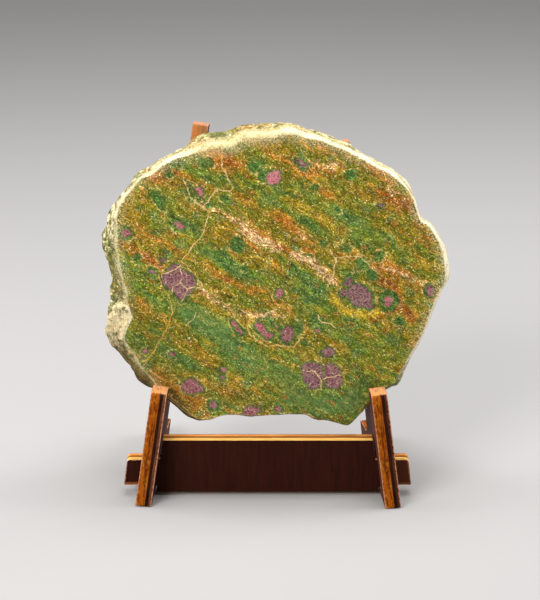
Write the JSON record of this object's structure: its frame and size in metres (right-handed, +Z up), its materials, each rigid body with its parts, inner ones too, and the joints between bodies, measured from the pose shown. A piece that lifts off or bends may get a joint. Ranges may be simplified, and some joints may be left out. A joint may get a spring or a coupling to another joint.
{
  "type": "ruby in zoisite slab on easel",
  "caption": "Polished slice of green and ochre ruby-bearing rock with a rough natural rim, leaning back on a small three-piece plywood easel with a tenoned crossbar.",
  "frame": {"origin": "middle of the whole object's footprint box, on the surface the easel's soles stand on", "axes": "+Z up, +X to the viewer's right, the polished face looks towards -Y and leans back towards +Y"},
  "size_m": [0.1176, 0.0616, 0.1228],
  "materials": {
    "polished_rock": "polished",
    "stand_ply": "satin",
    "dark_faced_ply": "satin"
  },
  "bodies": {
    "root": {"ruby_zoisite_slab": "polished_rock", "left_side": "stand_ply", "right_side": "stand_ply", "crossbar": "dark_faced_ply"}
  },
  "joints": []
}
